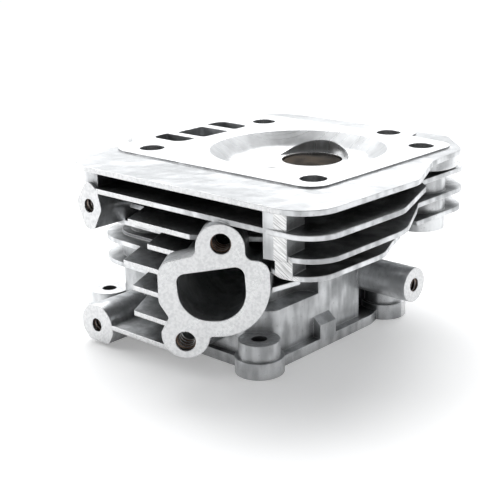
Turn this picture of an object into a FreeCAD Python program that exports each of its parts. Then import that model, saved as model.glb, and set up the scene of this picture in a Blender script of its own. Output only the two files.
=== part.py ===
import FreeCAD, Part
import math
import os
import re
import Sketcher

# Air-cooled single-cylinder head. Millimetres. Every shape is drawn from the bore axis and the gasket
# face, then moved so that the origin is the centre of the four head bolts on the gasket face.
# +Z points out of the gasket face, -Y is the exhaust side, -X the pushrod side.

SIZES = [
    # overall
    ("head_depth", 80.0, "gasket face to rocker cover face"),
    ("front_reach", 78.0, "bore axis to the front edge of the fins"),
    ("back_reach", 63.0, "bore axis to the back edge of the fins"),
    ("right_reach", 71.0, "bore axis to the right edge of the fins"),
    ("left_reach", 68.5, "bore axis to the left edge of the top plate"),
    ("fin_thick", 2.0, "fin thickness"),
    ("plate_drop", 0.9, "step from the gasket face to the top plate"),
    ("plate_thick", 2.2, "top plate thickness"),
    # combustion chamber
    ("chamber_r", 38.5, "chamber rim radius"),
    ("chamber_drop", 9.0, "chamber depth"),
    ("chamber_slope", 9.5, "width of the chamber wall in plan"),
    ("core_r", 43.0, "metal round the chamber"),
    # head bolts
    ("bolt_r", 5.5, "head bolt hole radius"),
    ("bolt_left", 50.8, "left bolts, distance from the bore axis"),
    ("bolt_right", 40.0, "right bolts, distance from the bore axis"),
    ("bolt_front", 39.0, "front bolts, distance from the bore axis"),
    ("bolt_back", 35.4, "back bolts, distance from the bore axis"),
    ("bolt5_x", 12.5, "fifth bolt"),
    ("bolt5_y", 50.1, "fifth bolt"),
    ("column_r", 11.0, "bolt column radius"),
    # rocker box
    ("wall", 3.6, "box wall thickness"),
    ("box_right", 25.0, "flat right wall of the box"),
    ("box_left", 72.0, "left wall round the pushrod tunnel"),
    ("tunnel_half", 27.0, "half width of the pushrod tunnel block"),
    ("corner_r", 15.0, "box corner round each left head bolt"),
    ("rim_out", 4.0, "rim projection beyond the wall"),
    ("rim_thick", 4.5, "rim thickness"),
    ("ear_x", 24.0, "right cover bolts"),
    ("ear_front", 54.0, "front cover bolts"),
    ("ear_back", 32.0, "back right cover bolt"),
    ("ear_left", 70.0, "left cover bolts"),
    ("ear_left_back", 48.0, "back left cover bolt"),
    ("ear_r", 10.2, "cover ear radius at the rim"),
    ("ear_top_r", 8.6, "cover ear radius above its step"),
    ("ear_tall", 14.0, "cover ear height"),
    ("cover_hole_r", 3.3, "cover bolt hole radius"),
    # exhaust flange
    ("flange_turn", 35.0, "exhaust flange, degrees round from the front face"),
    ("flange_far", 82.0, "bore axis to the exhaust flange face"),
    ("flange_thick", 12.0, "flange thickness"),
    ("stud_hole_r", 4.0, "exhaust stud hole radius"),
    ("stud_hole_deep", 20.0, "exhaust stud hole depth"),
    ("skin", 3.6, "metal round each port"),
    # intake flange
    ("intake_far", 72.0, "bore axis to the intake flange face"),
    ("intake_x", -20.0, "intake port centre"),
    ("intake_z", -35.0, "intake port centre"),
    ("intake_port_r", 13.0, "intake port radius at its flange"),
    ("intake_pitch", 25.0, "intake stud hole, distance from the port centre"),
    ("intake_stud_r", 3.0, "intake stud hole radius"),
    # shroud bosses
    ("shroud_x", -48.7, "front shroud bosses"),
    ("shroud_high", -17.6, "upper front shroud hole"),
    ("shroud_low", -71.1, "lower front shroud hole"),
    ("side_boss_y", 17.8, "side shroud boss"),
    ("side_boss_z", -57.0, "side shroud boss"),
    ("side_boss_x", 50.0, "face of the side shroud boss"),
    ("side_boss_r", 7.65, "side shroud boss radius"),
    ("screw_r", 3.0, "shroud screw hole radius"),
    ("screw_deep", 12.0, "shroud screw hole depth"),
    # spark plug
    ("plug_y", 5.0, "spark plug axis"),
    ("plug_x", 21.0, "where the plug axis meets the chamber"),
    ("plug_tilt", 42.0, "plug axis below the gasket plane, degrees"),
    ("plug_r", 7.0, "spark plug hole radius"),
    ("plug_reach", 19.0, "spark plug seat from the chamber"),
    ("plug_clear_r", 12.0, "room for the plug socket"),
    # valve gear layout
    ("valve_x", -6.0, "both valves"),
    ("intake_y", 17.0, "intake valve"),
    ("exhaust_y", -17.5, "exhaust valve"),
    ("arm", 25.5, "rocker arm length each side of its pivot"),
    ("seat_tall", 6.5, "valve seat insert height"),
    ("stem_r", 2.98, "valve stem radius"),
    ("guide_r", 5.5, "valve guide outer radius"),
    ("stem_clear", 0.04, "radial clearance of the valve stem in its guide"),
    ("guide_out", 7.5, "guide standing out of the box floor"),
    ("guide_in", 13.0, "guide length above the box floor"),
    ("floor_gap", 36.0, "box floor to the cover face"),
    ("stem_gap", 8.0, "valve tip to the cover face"),
    ("intake_seat_r", 16.5, "intake seat insert outer radius"),
    ("intake_mouth_r", 13.65, "intake seat mouth radius"),
    ("intake_throat_r", 12.2, "intake throat radius"),
    ("exhaust_seat_r", 15.0, "exhaust seat insert outer radius"),
    ("exhaust_mouth_r", 12.3, "exhaust seat mouth radius"),
    ("exhaust_throat_r", 10.8, "exhaust throat radius"),
    ("spring_r", 9.9, "valve spring mean radius"),
    ("wire_r", 1.2, "valve spring wire radius"),
    ("washer_thick", 1.2, "spring seat thickness"),
    ("keeper_gap", 14.0, "retainer to the cover face"),
    ("retainer_r", 12.0, "spring retainer radius"),
    ("ball_r", 8.0, "rocker pivot ball radius"),
    ("ball_gap", 6.0, "pivot ball centre to the cover face"),
    ("stud_r", 4.0, "rocker stud radius"),
    ("sheet_thick", 2.4, "rocker arm sheet thickness"),
    ("rocker_half", 8.6, "half width inside the rocker arm"),
    ("lash", 0.1, "valve clearance"),
]

NAMES = {name for name, value, note in SIZES}

doc = FreeCAD.newDocument("cylinder_head")
sheet = doc.addObject("Spreadsheet::Sheet", "sheet")
for row, (name, value, note) in enumerate(SIZES, 1):
    sheet.set("A%d" % row, name)
    sheet.set("B%d" % row, "%g" % value)
    sheet.set("C%d" % row, note)
    sheet.setAlias("B%d" % row, name)
doc.recompute()


def bound(text):
    """A formula with every size's name tied to the sheet."""
    return re.sub(r"[a-z]\w*", lambda m: "sheet." + m.group() if m.group() in NAMES else m.group(), str(text))


def number(text):
    return float(sheet.evalExpression(bound(text)))


def sketch_on(body, name, role, at, turn=None):
    """An empty sketch on an origin plane of the body, moved by at and turned about an axis of the plane."""
    sketch = body.newObject("Sketcher::SketchObject", name)
    support = [f for f in body.Origin.OriginFeatures if f.Role == role][0]
    sketch.AttachmentSupport = [(support, "")]
    sketch.MapMode = "FlatFace"
    if turn:
        axis, angle = turn
        sketch.AttachmentOffset = FreeCAD.Placement(
            FreeCAD.Vector(), FreeCAD.Rotation(FreeCAD.Vector(*axis), number(angle)))
        sketch.setExpression(".AttachmentOffset.Rotation.Angle", bound(angle))
    for axis, text in zip("xyz", at):
        sketch.setExpression(".AttachmentOffset.Base." + axis, bound(text))
    return sketch


def tie(sketch, kind, *where, to):
    row = sketch.addConstraint(Sketcher.Constraint(kind, *where, number(to)))
    sketch.setExpression("Constraints[%d]" % row, bound(to))


def draw_circles(sketch, circles):
    for x, y, r in circles:
        centre = FreeCAD.Vector(number(x), number(y), 0)
        row = sketch.addGeometry(Part.Circle(centre, FreeCAD.Vector(0, 0, 1), number(r)), False)
        tie(sketch, "DistanceX", row, 3, to=x)
        tie(sketch, "DistanceY", row, 3, to=y)
        tie(sketch, "Radius", row, to=r)


def draw_outline(sketch, corners):
    """A closed outline through corners (x, y) or (x, y, r), where r rounds the corner."""
    points = [FreeCAD.Vector(number(c[0]), number(c[1]), 0) for c in corners]
    count = len(points)
    starts = []
    ends = []
    for i, corner in enumerate(corners):
        before = (points[i - 1] - points[i]).normalize()
        after = (points[(i + 1) % count] - points[i]).normalize()
        if len(corner) == 2:
            ends.append(points[i])
            starts.append(points[i])
            continue
        half = before.getAngle(after) / 2
        reach = number(corner[2]) / math.tan(half)
        ends.append(points[i] + before * reach)
        starts.append(points[i] + after * reach)
    lines = [sketch.addGeometry(Part.LineSegment(starts[i], ends[(i + 1) % count]), False)
             for i in range(count)]
    for i, corner in enumerate(corners):
        came, goes = lines[i - 1], lines[i]
        if len(corner) == 2:
            sketch.addConstraint(Sketcher.Constraint("Coincident", came, 2, goes, 1))
            tie(sketch, "DistanceX", goes, 1, to=corner[0])
            tie(sketch, "DistanceY", goes, 1, to=corner[1])
            continue
        middle = (ends[i] + starts[i]) * 0.5
        inward = (middle - points[i]).normalize()
        radius = number(corner[2])
        centre = points[i] + inward * math.hypot(radius, (ends[i] - points[i]).Length)
        first = math.atan2(ends[i].y - centre.y, ends[i].x - centre.x)
        last = math.atan2(starts[i].y - centre.y, starts[i].x - centre.x)
        turn = (ends[i] - points[i]).cross(starts[i] - points[i]).z
        left = turn < 0
        angles = (first, last) if left else (last, first)
        circle = Part.Circle(centre, FreeCAD.Vector(0, 0, 1), radius)
        arc = sketch.addGeometry(Part.ArcOfCircle(circle, *angles), False)
        head, tail = (1, 2) if left else (2, 1)
        sketch.addConstraint(Sketcher.Constraint("Tangent", came, 2, arc, head))
        sketch.addConstraint(Sketcher.Constraint("Tangent", arc, tail, goes, 1))
        tie(sketch, "Radius", arc, to=corner[2])
        spot = sketch.addGeometry(Part.Point(points[i]), True)
        tie(sketch, "DistanceX", spot, 1, to=corner[0])
        tie(sketch, "DistanceY", spot, 1, to=corner[1])
        sketch.addConstraint(Sketcher.Constraint("PointOnObject", spot, 1, came))
        sketch.addConstraint(Sketcher.Constraint("PointOnObject", spot, 1, goes))


def profile(body, name, role, at, outlines=(), circles=(), turn=None):
    sketch = sketch_on(body, name + "_sketch", role, at, turn)
    for corners in outlines:
        draw_outline(sketch, corners)
    draw_circles(sketch, circles)
    return sketch


def extrude(kind, body, name, sketch, length, backwards=False):
    feature = body.newObject("PartDesign::" + kind, name)
    feature.Profile = sketch
    feature.Refine = False
    feature.Reversed = backwards
    feature.setExpression("Length", bound(length))
    doc.recompute()
    return feature


def slab(body, name, low, high, outlines=(), circles=()):
    """Metal between two levels."""
    sketch = profile(body, name, "XY_Plane", ("0", "0", low), outlines, circles)
    return extrude("Pad", body, name, sketch, "(%s) - (%s)" % (high, low))


def sink(body, name, high, low, outlines=(), circles=()):
    """A pocket between two levels."""
    sketch = profile(body, name, "XY_Plane", ("0", "0", high), outlines, circles)
    return extrude("Pocket", body, name, sketch, "(%s) - (%s)" % (high, low))


def spin(kind, body, name, corners, x="0", y="0"):
    """A shape turned about a vertical axis through (x, y), from an outline of (radius, z)."""
    sketch = profile(body, name, "XZ_Plane", (x, "0", "-(%s)" % y), [corners])
    feature = body.newObject("PartDesign::" + kind, name)
    feature.Profile = sketch
    feature.ReferenceAxis = (sketch, ["V_Axis"])
    feature.Angle = 360
    feature.Refine = False
    doc.recompute()
    return feature


def loft(kind, body, name, first, second):
    feature = body.newObject("PartDesign::" + kind, name)
    feature.Profile = first
    feature.Sections = [second]
    feature.Ruled = True
    feature.Refine = False
    doc.recompute()
    return feature


def ring_of(count, radius, turn=0.0):
    return [("%s * cos(%g)" % (radius, turn + 360.0 * k / count),
             "%s * sin(%g)" % (radius, turn + 360.0 * k / count)) for k in range(count)]


# levels
FLOOR = "-head_depth + floor_gap"
SEAT_TOP = "-chamber_drop"
SEAT_FOOT = "-chamber_drop - seat_tall"
COLUMN_FOOT = "-head_depth * 0.45"
FRONT = "-front_reach"

# -------------------------------------------------------------------- casting
casting = doc.addObject("PartDesign::Body", "head_casting")
casting.Label = "head_casting"

slab(casting, "core", "-head_depth * 0.475", "-plate_drop", circles=[("0", "0", "core_r")])

gasket_pad = [
    ("-67", "-51", "12"), ("50.5", "-51", "9"), ("50.5", "47", "9"), ("bolt5_x + 12", "50", "3"),
    ("bolt5_x + 11", "bolt5_y + 10.5", "8"), ("bolt5_x - 11", "bolt5_y + 10.5", "8"),
    ("bolt5_x - 12", "50", "3"), ("-66", "50", "12"), ("-66", "35", "4"), ("-76", "28", "6"),
    ("-76", "-28", "6"), ("-67", "-36", "4")]
slab(casting, "gasket_pad", "-plate_drop - 1", "0", [gasket_pad])

top_plate = [
    ("-left_reach", FRONT, "20"), ("right_reach - 1.5", FRONT, "16"), ("right_reach", "-12", "14"),
    ("58", "17", "10"), ("55.5", "44", "12"), ("41", "back_reach - 5", "8"), ("36", "back_reach", "6"),
    ("-left_reach", "back_reach", "20"), ("-left_reach", "37", "4"), ("-77", "30", "6"),
    ("-77", "-30", "6"), ("-left_reach", "-37", "4")]
slab(casting, "top_plate", "-plate_drop - plate_thick", "-plate_drop", [top_plate])

# bolt columns
near_bolts = [("-bolt_left", "-bolt_front"), ("-bolt_left", "bolt_back")]
far_bolts = [("bolt_right", "-bolt_front"), ("bolt_right", "bolt_back")]
slab(casting, "left_columns", FLOOR, "-plate_drop", circles=[(x, y, "column_r") for x, y in near_bolts])
slab(casting, "right_columns", COLUMN_FOOT, "-plate_drop", circles=[(x, y, "column_r") for x, y in far_bolts])
slab(casting, "fifth_column", COLUMN_FOOT, "-plate_drop", circles=[("bolt5_x", "bolt5_y", "column_r - 1.5")])
slab(casting, "corner_band", "-8", "-plate_drop", circles=[("bolt_right", "bolt_back", "15.5")])

# rocker box
box_outline = [
    ("-bolt_left - corner_r", "-bolt_front - corner_r", "corner_r"),
    ("15", "-bolt_front - corner_r", "5"), ("box_right", "-44", "5"), ("box_right", "12", "1.5"),
    ("18", "16", "3"), ("18", "bolt_back + 1", "5"), ("-bolt_left + 13", "bolt_back + corner_r", "6"),
    ("-bolt_left - corner_r", "bolt_back + corner_r", "corner_r"),
    ("-bolt_left - corner_r", "tunnel_half + 4", "3"), ("-box_left", "tunnel_half", "4"),
    ("-box_left", "-tunnel_half", "4"), ("-bolt_left - corner_r", "-tunnel_half - 4", "3")]
slab(casting, "box", "-head_depth", "-head_depth * 0.45", [box_outline])
slab(casting, "tunnel", FLOOR, "-plate_drop", [[
    ("-box_left", "-tunnel_half", "4"), ("-44", "-tunnel_half", "2"), ("-44", "tunnel_half", "2"),
    ("-box_left", "tunnel_half", "4")]])

rim_outline = [
    ("-bolt_left - corner_r - 3", "-bolt_front - corner_r - 3", "corner_r"),
    ("18", "-bolt_front - corner_r - 3", "5"), ("box_right + rim_out", "-45", "5"),
    ("box_right + rim_out", "16", "4"), ("22", "bolt_back + 4", "5"),
    ("-bolt_left + 14", "bolt_back + corner_r + 3", "6"),
    ("-bolt_left - corner_r - 3", "bolt_back + corner_r + 3", "corner_r"),
    ("-bolt_left - corner_r - 3", "tunnel_half + 6", "3"), ("-box_left - 3", "tunnel_half + 2", "4"),
    ("-box_left - 3", "-tunnel_half - 2", "4"), ("-bolt_left - corner_r - 3", "-tunnel_half - 6", "3")]
slab(casting, "rim", "-head_depth", "-head_depth + rim_thick", [rim_outline])

ears = [("ear_x", "-ear_front"), ("ear_x", "ear_back"), ("-ear_left", "-ear_front + 2"),
        ("-ear_left", "ear_left_back")]
slab(casting, "ears", "-head_depth", "-head_depth + ear_tall * 0.5", circles=[(x, y, "ear_r") for x, y in ears])
slab(casting, "ear_tops", "-head_depth + 1", "-head_depth + ear_tall",
     circles=[(x, y, "ear_top_r") for x, y in ears])

# wedge-shaped lug on the rim of the right wall
lug = profile(casting, "lug", "XZ_Plane", ("0", "0", "10"), [[
    ("box_right - 1", "-head_depth"), ("box_right + rim_out", "-head_depth"),
    ("box_right + rim_out", "-head_depth + 10.4"), ("box_right - 1", "-head_depth + 14.5")]])
extrude("Pad", casting, "lug", lug, "10.6")

# cooling fins: level of each underside, left end, right-hand outline
FIN_LEVELS = [0.144, 0.2625, 0.369, 0.491, 0.616, 0.756, 0.8875]


def fin(index, corners):
    low = "-head_depth * %g" % FIN_LEVELS[index - 2]
    slab(casting, "fin_%d" % index, low, low + " + fin_thick", [corners])


def left_lobe(start):
    """The front left of a fin: a notch beside the column, then a lobe round the head bolt."""
    return [("-bolt_left - 21", "-bolt_front + 12", "3"), ("-bolt_left - 21", "-bolt_front - 21", "20"),
            ("%s - 8" % start, "-bolt_front - 22", "2"), (start, FRONT, "1")]


back_left = [("-left_reach + 2", "back_reach - 1", "18"), ("-left_reach + 2", "30", "3"), ("-62", "26", "1"),
             ("-62", "-26", "1")]

fin(2, [("-44", FRONT, "2"), ("right_reach + 1.3", "-front_reach + 0.5", "14"),
        ("right_reach + 2", "-25", "20"), ("60.5", "9", "5"), ("54", "14", "3"), ("54", "50", "12"),
        ("38", "back_reach - 1", "8")] + back_left[:3] + [("-62", "-60", "4")])
fin(3, [("-25", FRONT, "1"), ("10.5", FRONT), ("37", "-61"), ("47", "-64"), ("48.5", "-75"),
        ("right_reach", "-front_reach + 3", "14"), ("right_reach", "-20", "25"), ("58", "6", "5"),
        ("53.5", "14", "3"), ("53.5", "50", "12"), ("38", "back_reach - 1", "8")] + back_left
    + left_lobe("-25")[:3])
fin(4, [("-14", FRONT, "1"), ("10.5", FRONT), ("37", "-61"), ("43.5", "-68.8"), ("51", "-72", "10"),
        ("right_reach - 5", "-70", "13"), ("right_reach - 4.5", "-28", "18"), ("60.5", "-14.5", "5"),
        ("52", "10", "4"), ("53", "50", "12"), ("38", "back_reach - 1", "8")] + back_left
    + left_lobe("-14")[:3])
fin(5, [("-29", FRONT, "1"), ("10.5", FRONT), ("37", "-61"), ("41", "-65"), ("43.5", "-50", "3"),
        ("20", "-42"), ("0", "-42"), ("0", "back_reach - 2", "6"), ("-38", "back_reach - 2", "6"),
        ("-38", "0")] + left_lobe("-29")[:3])
fin(6, [("-24", FRONT, "1"), ("10.5", FRONT), ("33", "-62"), ("20", "-50"), ("0", "-48"),
        ("0", "back_reach - 2", "6"), ("-38", "back_reach - 2", "6"), ("-38", "0")] + left_lobe("-24")[:3])
fin(7, [("-24", FRONT, "1"), ("8", FRONT), ("8", "-50"), ("2", "back_reach - 4", "6"),
        ("-38", "back_reach - 4", "6"), ("-38", "0"), ("-40", "-50")])
fin(8, [("-40", FRONT, "1"), ("4", FRONT), ("4", "-50"), ("-40", "-50")])

# rough post at the near corner, tying the first four fins together
slab(casting, "corner_post", "-head_depth * 0.2625", "-plate_drop - 1", [[
    ("48", "-64"), ("48", "-front_reach + 0.2"), ("57.6", "-front_reach + 2"), ("56", "-64")]])
slab(casting, "post_foot", "-head_depth * 0.369 + 1", "-head_depth * 0.2625 + 1", [[
    ("49", "-62"), ("49", "-72.6"), ("56.5", "-71.6"), ("55", "-62")]])

# front shroud bosses
upper = profile(casting, "upper_boss", "XZ_Plane", ("0", "0", "front_reach"), [[
    ("shroud_x - 7.8", "shroud_high + 1", "4"), ("shroud_x - 3", "shroud_high - 10.4", "3.5"),
    ("shroud_x + 2.5", "shroud_high - 10", "3"), ("shroud_x + 7.8", "shroud_high - 0.5", "4"),
    ("shroud_x + 5.5", "shroud_high + 7.5", "4"), ("shroud_x - 0.5", "shroud_high + 11.5", "4")]])
extrude("Pad", casting, "upper_boss", upper, "30", backwards=True)
upper_web = profile(casting, "upper_web", "XZ_Plane", ("0", "0", "front_reach - 2"), [[
    ("shroud_x - 4", "shroud_high"), ("shroud_x + 4", "shroud_high"), ("shroud_x + 4", "-plate_drop - 1"),
    ("shroud_x - 4", "-plate_drop - 1")]])
extrude("Pad", casting, "upper_web", upper_web, "29", backwards=True)
lower = profile(casting, "lower_boss", "XZ_Plane", ("0", "0", "front_reach"), [[
    ("shroud_x - 9.3", "shroud_low + 9.2", "8.8"), ("shroud_x - 9.3", "shroud_low - 3", "5"),
    ("shroud_x - 5", "-head_depth + 1.5", "3"), ("shroud_x + 7", "-head_depth + 1.5", "3"),
    ("shroud_x + 10.3", "shroud_low - 2", "5"), ("shroud_x + 9.3", "shroud_low + 9.2", "8.8")]])
extrude("Pad", casting, "lower_boss", lower, "27", backwards=True)

side = profile(casting, "side_boss", "YZ_Plane", ("0", "0", "14"),
               circles=[("side_boss_y", "side_boss_z", "side_boss_r")])
extrude("Pad", casting, "side_boss", side, "side_boss_x - 14")

# exhaust flange
TURN = ((0, 1, 0), "flange_turn")


def flange_plane(far):
    return ("(%s) * sin(flange_turn)" % far, "0", "(%s) * cos(flange_turn)" % far)


exhaust_outline = [
    ("-13.1", "-10.9", "9.3"), ("-31.9", "-10.9", "9.3"), ("-31.9", "-23.2", "3"), ("-46.7", "-27", "6"),
    ("-46.7", "-42.5", "5"), ("-42.4", "-49.5", "3"), ("-46.1", "-54", "3"), ("-46.1", "-65", "9.3"),
    ("-27.3", "-65", "9.3"), ("-27.3", "-56", "1"), ("-4", "-55", "20.3"), ("-4", "-25.2", "5"),
    ("-13.1", "-24.6", "3")]
plate = profile(casting, "exhaust_flange", "XZ_Plane", flange_plane("flange_far"), [exhaust_outline], turn=TURN)
extrude("Pad", casting, "exhaust_flange", plate, "flange_thick", backwards=True)

# intake flange
intake_outline = [
    ("intake_x - intake_pitch - 8", "intake_z - 8", "7.5"), ("intake_x - 11", "intake_z - 19", "9"),
    ("intake_x + 11", "intake_z - 19", "9"), ("intake_x + intake_pitch + 8", "intake_z - 8", "7.5"),
    ("intake_x + intake_pitch + 8", "intake_z + 8", "7.5"), ("intake_x + 11", "intake_z + 19", "9"),
    ("intake_x - 11", "intake_z + 19", "9"), ("intake_x - intake_pitch - 8", "intake_z + 8", "7.5")]
plate = profile(casting, "intake_flange", "XZ_Plane", ("0", "0", "-intake_far"), [intake_outline])
extrude("Pad", casting, "intake_flange", plate, "12")

# spark plug boss
PLUG_TURN = ((1, 0, 0), "plug_tilt")


def plug_plane(reach):
    return ("plug_y", "-chamber_drop - (%s) * sin(plug_tilt)" % reach, "plug_x + (%s) * cos(plug_tilt)" % reach)


boss = profile(casting, "plug_boss", "YZ_Plane", plug_plane("1"), circles=[("0", "0", "plug_clear_r - 0.5")],
               turn=PLUG_TURN)
extrude("Pad", casting, "plug_boss", boss, "plug_reach")

# cooling slot under the exhaust port
sink(casting, "cooling_slot", "-41.5", "-head_depth * 0.71", [[
    ("15.5", "-60"), ("34", "-60"), ("34", "-17", "6"), ("15.5", "-17", "6")]])

# inside of the rocker box, in two steps
inner_left = [
    ("-bolt_left + 13 - 1", "bolt_back + corner_r - wall", "5"),
    ("-bolt_left - corner_r + wall", "bolt_back + corner_r - wall", "corner_r - wall"),
    ("-bolt_left - corner_r + wall", "tunnel_half + 2", "2"), ("-box_left + wall", "tunnel_half - wall", "3"),
    ("-box_left + wall", "-tunnel_half + wall", "3"), ("-bolt_left - corner_r + wall", "-tunnel_half - 2", "2"),
    ("-bolt_left - corner_r + wall", "-bolt_front - corner_r + wall", "corner_r - wall")]
sink(casting, "box_floor", FLOOR, "-head_depth", [[
    ("9", "-bolt_front - corner_r + wall", "5"), ("11.5", "-42", "5"), ("11.5", "31", "6")] + inner_left])
sink(casting, "box_mouth", "-head_depth + 18", "-head_depth", [[
    ("14", "-bolt_front - corner_r + wall", "5"), ("box_right - wall", "-42", "5"),
    ("box_right - wall", "11", "2"), ("14.4", "15", "2"), ("14.4", "bolt_back - 2", "5")] + inner_left])

# metal round the ports
exhaust_out = [("-38.6", "-49.6", "12"), ("-12.4", "-49.6", "12"), ("-13.8", "-27.3", "3.5"),
               ("-40", "-31.6", "3.5")]
EX_U = "(valve_x * cos(flange_turn) + exhaust_y * sin(flange_turn))"
EX_C = "(valve_x * sin(flange_turn) - exhaust_y * cos(flange_turn))"


def grown(corners, skin):
    """Four corners moved outwards."""
    signs = [(-1, -1), (1, -1), (1, 1), (-1, 1)]
    return [("%s + (%s) * %d" % (x, skin, sx), "%s + (%s) * %d" % (y, skin, sy), "%s + %s" % (r, skin))
            for (x, y, r), (sx, sy) in zip(corners, signs)]


def square_about(u, v, half, radius):
    return [("%s + %s * %d" % (u, half, sx), "%s + %s * %d" % (v, half, sy), radius)
            for sx, sy in [(-1, -1), (1, -1), (1, 1), (-1, 1)]]


exhaust_in = square_about(EX_U, "(-25.5)", "exhaust_throat_r", "exhaust_throat_r * 0.8")


def exhaust_section(name, far, corners):
    return profile(casting, name, "XZ_Plane", flange_plane(far), [corners], turn=TURN)


loft("AdditiveLoft", casting, "exhaust_skin",
     exhaust_section("exhaust_skin_out", "flange_far - 3", grown(exhaust_out, "skin")),
     exhaust_section("exhaust_skin_in", EX_C, grown(exhaust_in, "skin")))
intake_in = ("valve_x", "-26", "intake_throat_r")
loft("AdditiveLoft", casting, "intake_skin",
     profile(casting, "intake_skin_out", "XZ_Plane", ("0", "0", "-intake_far + 3"),
             circles=[("intake_x", "intake_z", "intake_port_r + skin")]),
     profile(casting, "intake_skin_in", "XZ_Plane", ("0", "0", "-intake_y - 4"),
             circles=[("valve_x", "-26", "intake_throat_r + skin")]))

# combustion chamber
spin("Groove", casting, "chamber", [
    ("0", "1"), ("0", "-chamber_drop"), ("chamber_r - chamber_slope", "-chamber_drop", "13"),
    ("chamber_r", "0"), ("chamber_r", "1")])

# each valve's pocket, throat and guide bore
for side, y in (("intake", "intake_y"), ("exhaust", "exhaust_y")):
    throat = "%s_throat_r" % side
    spin("Groove", casting, side + "_throat", [
        ("0", "0"), ("0", "-26 - " + throat), ("3", "-26 - " + throat),
        (throat, "-26 - " + throat, "%s * 0.7" % throat), (throat, SEAT_FOOT), (side + "_seat_r", SEAT_FOOT),
        (side + "_seat_r", "0")], "valve_x", y)
    spin("Groove", casting, side + "_guide_bore", [
        ("0", "-26"), ("0", FLOOR + " - 1"), ("guide_r", FLOOR + " - 1"), ("guide_r", "-26")], "valve_x", y)

loft("SubtractiveLoft", casting, "exhaust_port",
     exhaust_section("exhaust_port_out", "flange_far + 1", exhaust_out),
     exhaust_section("exhaust_port_in", EX_C + " + 2", exhaust_in))
loft("SubtractiveLoft", casting, "intake_port",
     profile(casting, "intake_port_out", "XZ_Plane", ("0", "0", "-intake_far - 1"),
             circles=[("intake_x", "intake_z", "intake_port_r")]),
     profile(casting, "intake_port_in", "XZ_Plane", ("0", "0", "-intake_y - 2"),
             circles=[("valve_x", "-26", "intake_throat_r - 0.3")]))

# pushrod windows
sink(casting, "windows", "0", FLOOR + " - 1", [
    [("-66.5", "-8.8", "2"), ("-48.6", "-8.8", "2"), ("-48.6", "8.3", "2"), ("-66.5", "8.3", "2")],
    [("-68.4", "13", "1.5"), ("-49.5", "13", "1.5"), ("-49.5", "23.4", "5"), ("-68.4", "23.4", "5")],
    [("-68.4", "-23.4", "5"), ("-49.5", "-23.4", "5"), ("-49.5", "-13", "1.5"), ("-68.4", "-13", "1.5")]])

# holes
bolts = near_bolts + far_bolts + [("bolt5_x", "bolt5_y")]
sink(casting, "head_bolt_holes", "0", FLOOR + " - 4", circles=[(x, y, "bolt_r") for x, y in bolts])
sink(casting, "cover_holes", "-head_depth + ear_tall + 8", "-head_depth",
     circles=[(x, y, "cover_hole_r") for x, y in ears])
STUD_X = "(valve_x - arm)"
sink(casting, "rocker_stud_holes", FLOOR + " + 7", FLOOR + " - 1",
     circles=[(STUD_X, "intake_y", "stud_r"), (STUD_X, "exhaust_y", "stud_r")])
holes = profile(casting, "exhaust_stud_holes", "XZ_Plane", flange_plane("flange_far + 1"),
                circles=[("-22.2", "-18.6", "stud_hole_r"), ("-36.8", "-58.1", "stud_hole_r")], turn=TURN)
extrude("Pocket", casting, "exhaust_stud_holes", holes, "stud_hole_deep + 1")
holes = profile(casting, "intake_stud_holes", "XZ_Plane", ("0", "0", "-intake_far - 1"), circles=[
    ("intake_x - intake_pitch", "intake_z", "intake_stud_r"),
    ("intake_x + intake_pitch", "intake_z", "intake_stud_r")])
extrude("Pocket", casting, "intake_stud_holes", holes, "11", backwards=True)
holes = profile(casting, "front_screw_holes", "XZ_Plane", ("0", "0", "front_reach + 1"),
                circles=[("shroud_x", "shroud_high", "screw_r"), ("shroud_x", "shroud_low", "screw_r")])
extrude("Pocket", casting, "front_screw_holes", holes, "screw_deep + 1")
holes = profile(casting, "side_screw_hole", "YZ_Plane", ("0", "0", "side_boss_x + 1"),
                circles=[("side_boss_y", "side_boss_z", "screw_r")])
extrude("Pocket", casting, "side_screw_hole", holes, "screw_deep + 1")
holes = profile(casting, "plug_clearance", "YZ_Plane", plug_plane("plug_reach + 40"),
                circles=[("0", "0", "plug_clear_r")], turn=PLUG_TURN)
extrude("Pocket", casting, "plug_clearance", holes, "40")
holes = profile(casting, "plug_hole", "YZ_Plane", plug_plane("plug_reach + 1"),
                circles=[("0", "0", "plug_r")], turn=PLUG_TURN)
extrude("Pocket", casting, "plug_hole", holes, "plug_reach + 12")

nodes = [casting]
SHIFT_X = "(bolt_left - bolt_right) / 2"
SHIFT_Y = "(bolt_front - bolt_back) / 2"


def place(thing, x, y):
    """Put a finished piece on its axis, measured from the bore."""
    thing.setExpression(".Placement.Base.x", bound("%s + %s" % (x, SHIFT_X)))
    thing.setExpression(".Placement.Base.y", bound("%s + %s" % (y, SHIFT_Y)))


place(casting, "0", "0")


# ----------------------------------------------------------------- valve gear
def turned_part(label, corners, x, y):
    body = doc.addObject("PartDesign::Body", label)
    body.Label = label
    spin("Revolution", body, label + "_turn", corners)
    place(body, x, y)
    nodes.append(body)
    return body


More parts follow.
